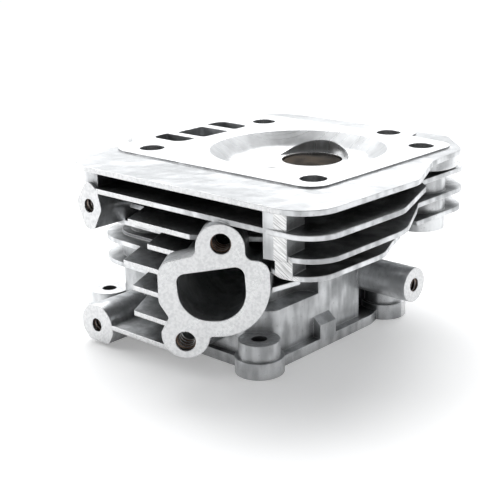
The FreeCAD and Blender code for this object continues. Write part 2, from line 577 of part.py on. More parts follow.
RETAINER = "(-head_depth + keeper_gap)"
for side, y in (("intake", "intake_y"), ("exhaust", "exhaust_y")):
    mouth = side + "_mouth_r"
    throat = side + "_throat_r"
    cone_top = "(-chamber_drop - 1.5)"
    turned_part(side + "_valve_seat", [
        (throat, SEAT_FOOT), (side + "_seat_r", SEAT_FOOT), (side + "_seat_r", SEAT_TOP), (mouth, SEAT_TOP),
        (mouth, cone_top), (throat, "%s - %s + %s" % (cone_top, mouth, throat))], "valve_x", y)
    turned_part(side + "_valve_guide", [
        ("stem_r + stem_clear", FLOOR + " + guide_in"), ("stem_r + stem_clear", FLOOR + " - guide_out"),
        ("guide_r", FLOOR + " - guide_out", "0.6"), ("guide_r", FLOOR + " + guide_in", "0.8")], "valve_x", y)
    rim = "(%s - 0.35)" % mouth
    edge = "(%s - 0.6)" % throat
    tip = "-head_depth + stem_gap"
    turned_part(side + "_valve", [
        ("0", "-chamber_drop - 0.9"), (rim, "-chamber_drop - 0.9", "0.3"), (rim, cone_top + " - 0.27"),
        (edge, "%s + 0.08 - %s + %s" % (cone_top, mouth, edge)), ("stem_r", "-chamber_drop - 6", "9"),
        ("stem_r", RETAINER + " - 1"), ("stem_r - 0.5", RETAINER + " - 1.5"),
        ("stem_r - 0.5", RETAINER + " - 2.6"), ("stem_r", RETAINER + " - 3.1"), ("stem_r", tip, "0.5"),
        ("0", tip)], "valve_x", y)
    turned_part(side + "_spring_seat", [
        ("guide_r + 1.6", FLOOR), ("guide_r + 1.6", FLOOR + " - washer_thick"),
        ("spring_r + wire_r + 1.1", FLOOR + " - washer_thick"), ("spring_r + wire_r + 1.1", FLOOR)],
        "valve_x", y)
    turned_part(side + "_spring_retainer", [
        ("4.65", RETAINER + " + 2.4"), ("5.75", RETAINER + " - 3.4"), ("7.6", RETAINER + " - 3.4", "0.6"),
        ("8.3", RETAINER + " - 2", "0.6"), ("retainer_r", RETAINER + " - 2", "0.6"), ("retainer_r", RETAINER),
        ("8.2", RETAINER), ("8", RETAINER + " + 2.4", "0.6")], "valve_x", y)

    # split collets: a turned cone sawn in two
    cone = doc.addObject("PartDesign::Body", side + "_collet_cone")
    spin("Revolution", cone, side + "_collet_turn", [
        ("stem_r + 0.05", RETAINER + " + 2.2"), ("4.63", RETAINER + " + 2.2"), ("5.68", RETAINER + " - 3.5"),
        ("stem_r + 0.05", RETAINER + " - 3.5"), ("stem_r + 0.05", RETAINER + " - 3.05"),
        ("stem_r - 0.42", RETAINER + " - 2.55"), ("stem_r - 0.42", RETAINER + " - 1.55"),
        ("stem_r + 0.05", RETAINER + " - 1.05")])
    saw = doc.addObject("Part::Box", side + "_collet_saw")
    saw.setExpression("Length", "30 mm")
    saw.setExpression("Width", "0.8 mm")
    saw.setExpression("Height", bound("head_depth"))
    saw.setExpression(".Placement.Base.x", "-15 mm")
    saw.setExpression(".Placement.Base.y", "-0.4 mm")
    saw.setExpression(".Placement.Base.z", bound("-head_depth"))
    collets = doc.addObject("Part::Cut", side + "_collets")
    collets.Label = side + "_valve_collets"
    collets.Base = cone
    collets.Tool = saw
    place(collets, "valve_x", y)
    nodes.append(collets)

    # coil spring with its ends ground flat
    foot = FLOOR + " - washer_thick"
    helix = doc.addObject("Part::Helix", side + "_helix")
    helix.setExpression("Radius", bound("spring_r"))
    helix.setExpression("Height", bound("(%s) - %s - 1.2 * wire_r" % (foot, RETAINER)))
    helix.setExpression("Pitch", bound("((%s) - %s - 1.2 * wire_r) / 5.5" % (foot, RETAINER)))
    helix.setExpression(".Placement.Base.z", bound(RETAINER + " + 0.6 * wire_r"))
    wire = doc.addObject("Part::Circle", side + "_wire")
    wire.setExpression("Radius", bound("wire_r"))
    wire.Placement = FreeCAD.Placement(FreeCAD.Vector(), FreeCAD.Rotation(FreeCAD.Vector(1, 0, 0), 90))
    wire.setExpression(".Placement.Base.x", bound("spring_r"))
    wire.setExpression(".Placement.Base.z", bound(RETAINER + " + 0.6 * wire_r"))
    coil = doc.addObject("Part::Sweep", side + "_coil")
    coil.Sections = [wire]
    coil.Spine = (helix, ["Edge1"])
    coil.Solid = True
    coil.Frenet = True
    ground = doc.addObject("Part::Cylinder", side + "_ground_faces")
    ground.setExpression("Radius", bound("spring_r * 2"))
    ground.setExpression("Height", bound("(%s) - %s" % (foot, RETAINER)))
    ground.setExpression(".Placement.Base.z", bound(RETAINER))
    spring = doc.addObject("Part::Common", side + "_spring")
    spring.Label = side + "_valve_spring"
    spring.Base = coil
    spring.Tool = ground
    place(spring, "valve_x", y)
    nodes.append(spring)

# oil seal on the intake guide
turned_part("intake_stem_seal", [
    ("guide_r", FLOOR + " - 3.5"), ("guide_r", FLOOR + " - guide_out - 0.3"),
    ("stem_r + 0.05", FLOOR + " - guide_out - 0.3"), ("stem_r + 0.05", FLOOR + " - guide_out - 2.5"),
    ("guide_r - 1", FLOOR + " - guide_out - 2.5", "0.6"), ("guide_r + 1.2", FLOOR + " - guide_out", "1"),
    ("guide_r + 1.2", FLOOR + " - 3.5")], "valve_x", "intake_y")

# pushrod guide plate, clamped under both rocker studs
PUSHROD_X = "(valve_x - 2 * arm)"
plate = doc.addObject("PartDesign::Body", "pushrod_guide_plate")
plate.Label = "pushrod_guide_plate"
slab(plate, "guide_plate_blank", FLOOR + " - 2", FLOOR, [[
    (PUSHROD_X + " - 7.5", "exhaust_y - 6.5", "3"), (STUD_X + " - 4", "exhaust_y - 8", "4"),
    (STUD_X + " + 8", "exhaust_y - 8", "6"), (STUD_X + " + 8", "exhaust_y + 8", "6"),
    (STUD_X + " - 3", "exhaust_y + 12", "4"), (STUD_X + " - 3", "intake_y - 12", "4"),
    (STUD_X + " + 8", "intake_y - 8", "6"), (STUD_X + " + 8", "intake_y + 8", "6"),
    (STUD_X + " - 4", "intake_y + 8", "4"), (PUSHROD_X + " - 7.5", "intake_y + 6.5", "3")]])
sink(plate, "guide_plate_holes", FLOOR + " + 1", FLOOR + " - 3", circles=[
    (x, y, r) for y in ("intake_y", "exhaust_y") for x, r in ((STUD_X, "stud_r + 0.05"), (PUSHROD_X, "4.6"))])
sink(plate, "guide_plate_window", FLOOR + " + 1", FLOOR + " - 3", [[
    (PUSHROD_X + " - 3", "-5", "3"), (STUD_X + " - 10", "-5", "3"), (STUD_X + " - 10", "5", "3"),
    (PUSHROD_X + " - 3", "5", "3")]])
place(plate, "0", "0")
nodes.append(plate)

BALL = "(-head_depth + ball_gap)"
for side, y in (("intake", "intake_y"), ("exhaust", "exhaust_y")):
    # stud: thread, hexagonal shoulder, thread
    stud = doc.addObject("PartDesign::Body", side + "_rocker_stud")
    stud.Label = side + "_rocker_stud"
    slab(stud, side + "_stud_rod", "-head_depth + 0.6", FLOOR + " + 6.5", circles=[("0", "0", "stud_r")])
    slab(stud, side + "_stud_hex", FLOOR + " - 7.5", FLOOR + " - 2", [ring_of(6, "7.2", 30)])
    nodes.append(stud)

    pivot = doc.addObject("PartDesign::Body", side + "_rocker_pivot")
    pivot.Label = side + "_rocker_pivot"
    spin("Revolution", pivot, side + "_pivot_ball", [
        ("0", BALL), ("ball_r", BALL, "0.02"), ("ball_r", BALL + " + ball_r", "ball_r - 0.05"),
        ("0", BALL + " + ball_r")])
    sink(pivot, side + "_pivot_bore", BALL + " + ball_r + 1", BALL + " - 1",
         circles=[("0", "0", "stud_r + 0.05")])
    nodes.append(pivot)

    nut = doc.addObject("PartDesign::Body", side + "_adjuster_nut")
    nut.Label = side + "_adjuster_nut"
    slab(nut, side + "_nut_hex", "-head_depth + 0.9", BALL, [ring_of(6, "7.5", 30)])
    sink(nut, side + "_nut_bore", BALL + " + 1", "-head_depth", circles=[("0", "0", "stud_r + 0.05")])
    nodes.append(nut)
    for body in (stud, pivot, nut):
        place(body, STUD_X, y)

    # rocker arm: folded sheet with a pivot cup, a crowned valve pad and a pushrod cup
    rocker = doc.addObject("PartDesign::Body", side + "_rocker_arm")
    rocker.Label = side + "_rocker_arm"
    contact = "(-head_depth + stem_gap - lash)"
    web_top = "(%s)" % BALL
    web = profile(rocker, side + "_rocker_web", "XZ_Plane", ("0", "0", "-rocker_half - 2.2"), [[
        ("-arm - 6", web_top), ("-arm - 6", web_top + " - sheet_thick"),
        ("arm - 7.5", web_top + " - sheet_thick", "3"), ("arm", contact + " + 0.3 - sheet_thick", "6"),
        ("arm + 6", contact + " - 1.5 - sheet_thick"), ("arm + 6", contact + " + 0.64 - 6 * tan(20)"),
        ("arm", contact + " + 0.64", "10"), ("arm - 7", contact + " + 0.64 - 7 * tan(20)", "3"),
        ("arm - 10", web_top)]])
    extrude("Pad", rocker, side + "_rocker_web", web, "2 * rocker_half + 4.4")
    walls = profile(rocker, side + "_rocker_walls", "XZ_Plane", ("0", "0", "-rocker_half - 2.2"), [[
        ("-arm - 5", web_top + " - sheet_thick", "1"), ("arm - 6", web_top + " - sheet_thick", "2"),
        ("arm + 3", contact + " - 2.5 - sheet_thick", "1"), ("arm + 3", contact + " - 1"),
        ("arm - 7", contact + " - 0.8", "3"), ("9", BALL + " + 5.5", "5"), ("-9", BALL + " + 5.5", "5"),
        ("-arm - 5", web_top + " + 1.2", "2")]])
    extrude("Pad", rocker, side + "_rocker_walls", walls, "2 * rocker_half + 4.4")
    channel = profile(rocker, side + "_rocker_channel", "XZ_Plane", ("0", "0", "-rocker_half"), [[
        ("-arm - 8", web_top), ("arm - 10", web_top), ("arm - 7", contact + " + 0.64 - 7 * tan(20)", "3"),
        ("arm", contact + " + 0.64", "10"), ("arm + 8", contact + " + 0.64 - 8 * tan(20)"),
        ("arm + 8", BALL + " + 9"), ("-arm - 8", BALL + " + 9")]])
    extrude("Pocket", rocker, side + "_rocker_channel", channel, "2 * rocker_half", backwards=True)
    spin("Revolution", rocker, side + "_rocker_cup", [
        ("0", BALL + " - 0.4"), ("ball_r + 2.3", BALL + " - 0.4"),
        ("ball_r + 2.3", BALL + " + ball_r + 2.3", "ball_r + 2.2"), ("0", BALL + " + ball_r + 2.3")])
    slab(rocker, side + "_pushrod_cup", web_top + " - sheet_thick", web_top + " + 3.5",
         circles=[("-arm", "0", "5.4")])
    spin("Groove", rocker, side + "_pivot_seat", [
        ("0", BALL + " - 5"), ("ball_r + 1", BALL + " - 5"), ("ball_r + 1", BALL + " - 0.6", "0.5"),
        ("ball_r + 0.08", BALL, "0.02"), ("ball_r + 0.08", BALL + " + ball_r + 0.08", "ball_r + 0.03"),
        ("0", BALL + " + ball_r + 0.08")])
    spin("Groove", rocker, side + "_pushrod_seat", [
        ("0", web_top + " + 5"), ("0", web_top + " + 0.4"), ("3.3", web_top + " + 0.4", "3.2"),
        ("3.3", web_top + " + 5")], "-arm")
    sink(rocker, side + "_stud_slot", BALL + " + 14", BALL, [[
        ("-stud_r - 2.6", "-stud_r - 0.4", "4.2"), ("stud_r + 2.6", "-stud_r - 0.4", "4.2"),
        ("stud_r + 2.6", "stud_r + 0.4", "4.2"), ("-stud_r - 2.6", "stud_r + 0.4", "4.2")]])
    place(rocker, STUD_X, y)
    nodes.append(rocker)

doc.recompute()

# ---------------------------------------------------------------------- write
faults = ["%s %s" % (thing.Label, thing.State) for thing in doc.Objects
          if "Invalid" in thing.State or "Error" in thing.State]
faults += [node.Label + " has no sound shape" for node in nodes
           if node.Shape.isNull() or not node.Shape.isValid() or not node.Shape.Solids]
if faults:
    raise SystemExit("faults: " + "; ".join(faults))

os.makedirs("parts", exist_ok=True)
for node in nodes:
    node.Shape.exportStep("parts/%s.step" % node.Label)
    print(node.Label, len(node.Shape.Solids), round(node.Shape.Volume, 1))
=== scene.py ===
# %% [markdown]
# # A bare cylinder head in Blender
# The head of a small air-cooled engine is one aluminium die casting that carries steel seats, valves,
# springs and rocker arms. Its shapes come from a CAD model. This lesson gives every piece its surface: skin
# as it left the die, faces a cutter has cleaned, ground steel, wound wire and rolled threads.
#
# We start by loading the CAD pieces. They arrive in metres, already in place, with Z up out of the gasket
# face.

# %% Load the CAD pieces
import bpy
import bmesh
import math
from mathutils import Matrix, Vector


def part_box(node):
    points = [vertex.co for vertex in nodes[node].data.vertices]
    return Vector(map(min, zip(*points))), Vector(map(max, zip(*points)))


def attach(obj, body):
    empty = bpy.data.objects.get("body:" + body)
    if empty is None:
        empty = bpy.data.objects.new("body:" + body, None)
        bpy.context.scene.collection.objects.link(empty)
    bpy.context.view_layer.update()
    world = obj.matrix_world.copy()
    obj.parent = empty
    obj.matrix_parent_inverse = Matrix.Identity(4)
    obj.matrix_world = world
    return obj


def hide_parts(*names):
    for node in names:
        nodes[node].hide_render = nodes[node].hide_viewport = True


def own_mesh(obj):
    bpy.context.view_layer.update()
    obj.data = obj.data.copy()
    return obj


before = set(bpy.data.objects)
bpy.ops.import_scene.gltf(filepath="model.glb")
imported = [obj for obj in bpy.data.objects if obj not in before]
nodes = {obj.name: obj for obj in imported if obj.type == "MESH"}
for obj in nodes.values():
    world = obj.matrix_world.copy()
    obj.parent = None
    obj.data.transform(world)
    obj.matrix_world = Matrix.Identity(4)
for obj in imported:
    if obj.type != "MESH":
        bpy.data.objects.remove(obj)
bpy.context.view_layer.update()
SIDES = ("intake", "exhaust")

# %% [markdown]
# The finishes depend on where things are: a milled face is bright, and the skin beside it is not. So we
# write down, in metres, the head's own landmarks: the faces a cutter touched, the bored holes, the chamber
# and the valve axes. Everything later refers to these names.

# %% Landmarks of the head
MM = 0.001
FLANGE_TURN = math.radians(35.0)
FLANGE_OUT = Vector((math.sin(FLANGE_TURN), -math.cos(FLANGE_TURN), 0.0))
PLUG_OUT = Vector((0.74314, 0.0, -0.66913))
UP, DOWN = Vector((0, 0, 1)), Vector((0, 0, -1))
RIGHT, FRONT, BACK = Vector((1, 0, 0)), Vector((0, -1, 0)), Vector((0, 1, 0))

# each milled face: the way it looks, and how far along that way it lies
MILLED = {
    "gasket face": (UP, 0.0),
    "cover face": (DOWN, 80.0),
    "exhaust flange": (FLANGE_OUT, 83.62),
    "front bosses": (FRONT, 76.2),
    "side boss": (RIGHT, 55.4),
    "intake flange": (BACK, 73.8),
    "cover bolt seats": (UP, -66.0),
}
CHAMBER = Vector((5.4, 1.8, 0.0)) * MM
CHAMBER_R = 38.5 * MM
HEAD_BOLTS = [(-45.4, -37.2), (45.4, -37.2), (-45.4, 37.2), (45.4, 37.2), (17.9, 51.9)]
SAWN_POST = Vector((58.2, -68.2, -15.5)) * MM
SAWN_HALF = (5.6 * MM, 7.0 * MM, 14.0 * MM)
SAW_STROKE = Vector((0.84, 0.0, -0.54))
VALVE_X = -0.6
VALVE_Y = {"intake": 18.8, "exhaust": -15.7}
print(len(MILLED), "milled faces and", len(HEAD_BOLTS), "head bolt holes")

# %% [markdown]
# A node material is a small graph, and writing one out node by node hides its idea. Three helpers keep it
# readable: `add` makes a node and fills or links its inputs, `maths` and `vector_maths` make one sum each
# and return its result.

# %% Helpers that build node graphs
def add(tree, kind, inputs=None, **settings):
    """One new node with its settings made and its inputs filled or linked."""
    node = tree.nodes.new(kind)
    for name, value in settings.items():
        setattr(node, name, value)
    for key, value in (inputs or {}).items():
        if isinstance(value, bpy.types.NodeSocket):
            tree.links.new(value, node.inputs[key])
        else:
            node.inputs[key].default_value = value
    return node


def maths(tree, operation, *values, clamp=False):
    """The result of one sum."""
    node = add(tree, "ShaderNodeMath", dict(enumerate(values)), operation=operation, use_clamp=clamp)
    return node.outputs[0]


def vector_maths(tree, operation, *values):
    """The result of one vector sum: its number for DOT_PRODUCT, DISTANCE and LENGTH."""
    node = add(tree, "ShaderNodeVectorMath", dict(enumerate(values)), operation=operation)
    return node.outputs["Value" if operation in ("DOT_PRODUCT", "DISTANCE", "LENGTH") else "Vector"]


def mix(tree, share, first, second):
    """A colour part of the way from first to second."""
    node = add(tree, "ShaderNodeMix", data_type="RGBA")
    for socket, value in zip((node.inputs[0], node.inputs[6], node.inputs[7]), (share, first, second)):
        if isinstance(value, bpy.types.NodeSocket):
            tree.links.new(value, socket)
        else:
            socket.default_value = value
    return node.outputs[2]


def step_up(tree, value, low, high, to_low=0.0, to_high=1.0):
    """Rises smoothly from to_low to to_high as value goes from low to high."""
    node = add(tree, "ShaderNodeMapRange", {
        "Value": value, "From Min": low, "From Max": high, "To Min": to_low, "To Max": to_high},
        interpolation_type="SMOOTHSTEP")
    return node.outputs[0]


def grey(value, warmth=0.0):
    """A metal's grey, a little warmer or cooler."""
    return (value * (1 + warmth), value, value * (1 - warmth), 1.0)


def new_group(name, inputs, outputs):
    """An empty shader group with named sockets, and the sockets its inside is wired to."""
    group = bpy.data.node_groups.new(name, "ShaderNodeTree")
    for socket, kind, value in inputs:
        group.interface.new_socket(socket, in_out="INPUT", socket_type=kind).default_value = value
    for socket, kind in outputs:
        group.interface.new_socket(socket, in_out="OUTPUT", socket_type=kind)
    start = group.nodes.new("NodeGroupInput")
    end = group.nodes.new("NodeGroupOutput")
    return group, start.outputs, end.inputs


print("helpers ready")

# %% [markdown]
# ## Rounded edges, wear and painted edge highlights
# No cast or milled edge is perfectly sharp. The radius is a few tenths of a millimetre: too small to model
# on hundreds of edges, and yet it is what catches the light. The Bevel node gives the normal the surface
# would have if its edges were rounded. Where that differs from the flat normal we are at an edge, which
# makes a mask for the polish that handling leaves there and for a painted highlight along the edge.

# %% Shader group: worn edges
FLOAT, VECTOR = "NodeSocketFloat", "NodeSocketVector"
worn_and_highlit_edges, given, result = new_group(
    "worn and highlit edges", [("Radius", FLOAT, 0.5 * MM), ("Gain", FLOAT, 4.0)],
    [("Edge", FLOAT), ("Normal", VECTOR)])
rounded = add(worn_and_highlit_edges, "ShaderNodeBevel", {"Radius": given["Radius"]}, samples=6)
flat = add(worn_and_highlit_edges, "ShaderNodeNewGeometry")
agree = vector_maths(worn_and_highlit_edges, "DOT_PRODUCT", rounded.outputs[0], flat.outputs["Normal"])
turned = maths(worn_and_highlit_edges, "SUBTRACT", 1.0, agree)
worn_and_highlit_edges.links.new(maths(worn_and_highlit_edges, "MULTIPLY", turned, given["Gain"], clamp=True), result["Edge"])
worn_and_highlit_edges.links.new(rounded.outputs[0], result["Normal"])
print(worn_and_highlit_edges.name, "has", len(worn_and_highlit_edges.nodes), "nodes")

# %% [markdown]
# ## Die-cast skin
# Molten aluminium chills against the die, so the skin has a fine orange peel, cloudy patches where the flow
# fronts met, thin flow lines along the draw, and a few dark specks. Four noises at four sizes, all read from
# Object coordinates in metres, give the same skin on every side of the head.

# %% Shader group: cast skin
cast_skin, given, result = new_group(
    "cast skin", [("Grain", FLOAT, 1.0)],
    [("Cloud", FLOAT), ("Grit", FLOAT), ("Fleck", FLOAT), ("Height", FLOAT)])
place = add(cast_skin, "ShaderNodeTexCoord").outputs["Object"]
scaled = vector_maths(cast_skin, "SCALE", place)
cast_skin.links.new(given["Grain"], scaled.node.inputs["Scale"])
stretched = vector_maths(cast_skin, "MULTIPLY", scaled, (260.0, 260.0, 60.0))
peel = add(cast_skin, "ShaderNodeTexNoise", {"Vector": scaled, "Scale": 900.0, "Detail": 3.0})
cloud = add(cast_skin, "ShaderNodeTexNoise", {"Vector": scaled, "Scale": 70.0, "Detail": 4.0})
flow = add(cast_skin, "ShaderNodeTexNoise", {"Vector": stretched, "Scale": 1.0, "Detail": 2.0})
speck = add(cast_skin, "ShaderNodeTexVoronoi", {"Vector": scaled, "Scale": 420.0})
both = maths(cast_skin, "ADD", maths(cast_skin, "MULTIPLY", cloud.outputs[0], 0.6),
             maths(cast_skin, "MULTIPLY", flow.outputs[0], 0.4))
cast_skin.links.new(step_up(cast_skin, both, 0.36, 0.64), result["Cloud"])
cast_skin.links.new(step_up(cast_skin, speck.outputs["Distance"], 0.10, 0.19, 1.0, 0.0), result["Fleck"])
wave = add(cast_skin, "ShaderNodeTexNoise", {"Vector": scaled, "Scale": 110.0, "Detail": 1.0})
fine = maths(cast_skin, "ADD", maths(cast_skin, "MULTIPLY", peel.outputs[0], 0.35),
             maths(cast_skin, "MULTIPLY", flow.outputs[0], 0.45))
height = maths(cast_skin, "ADD", fine, maths(cast_skin, "MULTIPLY", wave.outputs[0], 3.0))
cast_skin.links.new(peel.outputs[0], result["Grit"])
cast_skin.links.new(height, result["Height"])
print(cast_skin.name, "has", len(cast_skin.nodes), "nodes")

# %% [markdown]
# ## Milled faces
# A fly cutter leaves shallow arcs, all from one far centre. Rings from a point outside the part give arcs of
# the right curve, and noise makes some cuts deeper than others. A second group decides where a milled face
# is: the point must lie on the face's plane, and the surface must look the face's way.

# %% Shader groups: cutter arcs and face masks
cutter_arcs, given, result = new_group(
    "cutter arcs", [("Centre", VECTOR, (0.0, 0.0, 0.0)), ("Pitch", FLOAT, 0.8 * MM)],
    [("Tone", FLOAT), ("Height", FLOAT)])
place = add(cutter_arcs, "ShaderNodeTexCoord").outputs["Object"]
far = vector_maths(cutter_arcs, "DISTANCE", place, given["Centre"])
count = maths(cutter_arcs, "DIVIDE", far, given["Pitch"])
wander = add(cutter_arcs, "ShaderNodeTexNoise", {"Vector": place, "Scale": 25.0, "Detail": 2.0})
streak = add(cutter_arcs, "ShaderNodeTexNoise", {"W": count, "Scale": 0.9, "Detail": 3.0},
             noise_dimensions="1D")
wave = maths(cutter_arcs, "SINE", maths(cutter_arcs, "MULTIPLY", count, math.tau))
shown = step_up(cutter_arcs, wander.outputs[0], 0.35, 0.65, 0.15, 1.0)
cutter_arcs.links.new(streak.outputs[0], result["Tone"])
cutter_arcs.links.new(maths(cutter_arcs, "ADD", maths(cutter_arcs, "MULTIPLY", wave, shown),
                            maths(cutter_arcs, "MULTIPLY", streak.outputs[0], 2.0)), result["Height"])

face_mask, given, result = new_group(
    "face mask", [("Way", VECTOR, (0.0, 0.0, 1.0)), ("Distance", FLOAT, 0.0)], [("Mask", FLOAT)])
place = add(face_mask, "ShaderNodeTexCoord").outputs["Object"]
looks = add(face_mask, "ShaderNodeNewGeometry").outputs["True Normal"]
along = vector_maths(face_mask, "DOT_PRODUCT", place, given["Way"])
off_plane = maths(face_mask, "ABSOLUTE", maths(face_mask, "SUBTRACT", along, given["Distance"]))
near = maths(face_mask, "LESS_THAN", off_plane, 0.15 * MM)
facing = maths(face_mask, "GREATER_THAN", vector_maths(face_mask, "DOT_PRODUCT", looks, given["Way"]), 0.97)
face_mask.links.new(maths(face_mask, "MULTIPLY", near, facing), result["Mask"])
print(cutter_arcs.name, "and", face_mask.name, "made")

# %% [markdown]
# ## Lathe rings
# Seats, valves, guides and retainers are turned, so their marks run round the part's own axis. The group
# takes a centre and adds the distance from the axis to the height along it. That makes rings on a face and
# rings on a barrel with one sum.

# %% Shader group: lathe rings
lathe_rings, given, result = new_group(
    "lathe rings", [("Centre", VECTOR, (0.0, 0.0, 0.0)), ("Pitch", FLOAT, 0.25 * MM)],
    [("Tone", FLOAT), ("Height", FLOAT)])
place = add(lathe_rings, "ShaderNodeTexCoord").outputs["Object"]
from_axis = vector_maths(lathe_rings, "SUBTRACT", place, given["Centre"])
parts = add(lathe_rings, "ShaderNodeSeparateXYZ", {0: from_axis})
out = maths(lathe_rings, "SQRT", maths(
    lathe_rings, "ADD", maths(lathe_rings, "POWER", parts.outputs[0], 2.0),
    maths(lathe_rings, "POWER", parts.outputs[1], 2.0)))
count = maths(lathe_rings, "DIVIDE", maths(lathe_rings, "ADD", out, parts.outputs[2]), given["Pitch"])
cut = add(lathe_rings, "ShaderNodeTexNoise", {"W": count, "Scale": 1.0, "Detail": 2.0}, noise_dimensions="1D")
lathe_rings.links.new(cut.outputs[0], result["Tone"])
lathe_rings.links.new(cut.outputs[0], result["Height"])
print(lathe_rings.name, "has", len(lathe_rings.nodes), "nodes")

# %% [markdown]
# ## The casting's material
# One material covers the whole casting. The skin is the base. On top of it go the milled faces, the bored
# bolt holes and the chamber, each with its own mask. The post at the near corner was trimmed with a saw, so
# slanted scores cross it. The deep gaps, found with ambient occlusion, are darkened as painted shade,
# and the edges are lightened for handling wear and as a painted highlight.

# %% A metal material to start from
def metal(name, roughness=0.35):
    """A new all-metal material, its graph and its Principled shader."""
    material = bpy.data.materials.new(name)
    material.use_nodes = True
    tree = material.node_tree
    shader = tree.nodes["Principled BSDF"]
    shader.inputs["Metallic"].default_value = 1.0
    shader.inputs["Roughness"].default_value = roughness
    return material, tree, shader


def placed(tree, group, **values):
    """One use of a shared group, with its own values."""
    node = add(tree, "ShaderNodeGroup", node_tree=group)
    for key, value in values.items():
        node.inputs[key].default_value = value
    return node


def bump(tree, shader, height, depth, normal):
    """Raises the surface by height times depth on top of a normal."""
    node = add(tree, "ShaderNodeBump", {"Height": height, "Normal": normal, "Distance": depth})
    tree.links.new(node.outputs[0], shader.inputs["Normal"])


def strongest(tree, masks):
    """The largest of several masks."""
    total = masks[0]
    for one in masks[1:]:
        total = maths(tree, "MAXIMUM", total, one)
    return total


print("metal, placed, bump and strongest ready")

# %% Material: cast aluminium
cast, tree, shader = metal("cast aluminium")
place = add(tree, "ShaderNodeTexCoord").outputs["Object"]
across = vector_maths(tree, "MULTIPLY", place, (1.0, 1.0, 0.0))
height_z = add(tree, "ShaderNodeSeparateXYZ", {0: place}).outputs[2]
skin = placed(tree, cast_skin, Grain=1.0)
edges = placed(tree, worn_and_highlit_edges, Radius=0.6 * MM, Gain=3.0)
arcs = placed(tree, cutter_arcs, Centre=(-0.21, 0.16, 0.0), Pitch=1.1 * MM)
rings = placed(tree, lathe_rings, Centre=CHAMBER, Pitch=0.5 * MM)

masks = {name: placed(tree, face_mask, Way=way, Distance=far * MM).outputs[0]
         for name, (way, far) in MILLED.items()}
milled = strongest(tree, list(masks.values()))
bored = strongest(tree, [
    maths(tree, "LESS_THAN", vector_maths(tree, "DISTANCE", across, (x * MM, y * MM, 0.0)), 6.8 * MM)
    for x, y in HEAD_BOLTS])
bowl = maths(tree, "MULTIPLY",
             maths(tree, "LESS_THAN", vector_maths(tree, "DISTANCE", across, CHAMBER), CHAMBER_R + 0.05 * MM),
             maths(tree, "GREATER_THAN", height_z, -9.2 * MM))
clean = maths(tree, "MAXIMUM", milled, maths(tree, "MAXIMUM", bored, bowl))

# painted shade: the deep gaps, found by ambient occlusion, are darkened towards near black
recess_occlusion = add(tree, "ShaderNodeAmbientOcclusion", {"Distance": 14 * MM}, samples=6)
painted_recess_shade = step_up(tree, recess_occlusion.outputs["AO"], 0.15, 0.75, 1.0, 0.0)
skin_colour = mix(tree, skin.outputs["Cloud"], grey(0.44, -0.02), grey(0.74, -0.015))
plate = placed(tree, face_mask, Way=UP, Distance=-0.9 * MM).outputs[0]
broad = add(tree, "ShaderNodeTexNoise", {"Vector": place, "Scale": 22.0, "Detail": 3.0})
plate_tone = maths(tree, "ADD", maths(tree, "MULTIPLY", step_up(tree, broad.outputs[0], 0.38, 0.62), 0.7),
                   maths(tree, "MULTIPLY", skin.outputs["Cloud"], 0.3))
plate_colour = mix(tree, plate_tone, grey(0.33, -0.02), grey(0.54, -0.015))
skin_colour = mix(tree, plate, skin_colour, plate_colour)
skin_colour = mix(tree, maths(tree, "MULTIPLY", skin.outputs["Fleck"], 0.3), skin_colour, grey(0.24))
# painted shade laid into the recesses of the skin
skin_colour = mix(tree, maths(tree, "MULTIPLY", painted_recess_shade, 0.88), skin_colour, grey(0.08, -0.02))
bright_colour = mix(tree, arcs.outputs["Tone"], grey(0.86, -0.01), grey(0.95, -0.005))
grit = step_up(tree, skin.outputs["Grit"], 0.35, 0.62)
dull_colour = mix(tree, grit, grey(0.56, -0.01), grey(0.66, -0.005))
brightest = maths(tree, "MAXIMUM", masks["gasket face"], bowl)
clean_colour = mix(tree, brightest, dull_colour, bright_colour)
bowl_colour = mix(tree, skin.outputs["Cloud"], grey(0.56, -0.01), grey(0.72, -0.01))
clean_colour = mix(tree, bowl, clean_colour, bowl_colour)
colour = mix(tree, clean, skin_colour, clean_colour)
from_post = add(tree, "ShaderNodeSeparateXYZ", {
    0: vector_maths(tree, "ABSOLUTE", vector_maths(tree, "SUBTRACT", place, SAWN_POST))})
post = 1.0
for reach, half in zip(from_post.outputs, SAWN_HALF):
    post = maths(tree, "MULTIPLY", post, maths(tree, "LESS_THAN", reach, half))
along = vector_maths(tree, "DOT_PRODUCT", place, SAW_STROKE * 90.0)
between = vector_maths(tree, "DOT_PRODUCT", place, SAW_STROKE.cross(FRONT) * 1900.0)
score_place = add(tree, "ShaderNodeCombineXYZ", {0: along, 1: between}).outputs[0]
score = add(tree, "ShaderNodeTexNoise", {"Vector": score_place, "Scale": 1.0, "Detail": 4.0})
looks = add(tree, "ShaderNodeNewGeometry").outputs["True Normal"]
sawn = maths(tree, "MULTIPLY", post, maths(
    tree, "GREATER_THAN", vector_maths(tree, "DOT_PRODUCT", looks, FRONT), 0.7))
sawn_colour = mix(tree, step_up(tree, score.outputs[0], 0.36, 0.62), grey(0.50), grey(0.92))
colour = mix(tree, sawn, colour, sawn_colour)
# edges lightened for handling wear and as a painted highlight
colour = mix(tree, maths(tree, "MULTIPLY", edges.outputs["Edge"], 0.6), colour, grey(0.92))
tree.links.new(colour, shader.inputs["Base Color"])

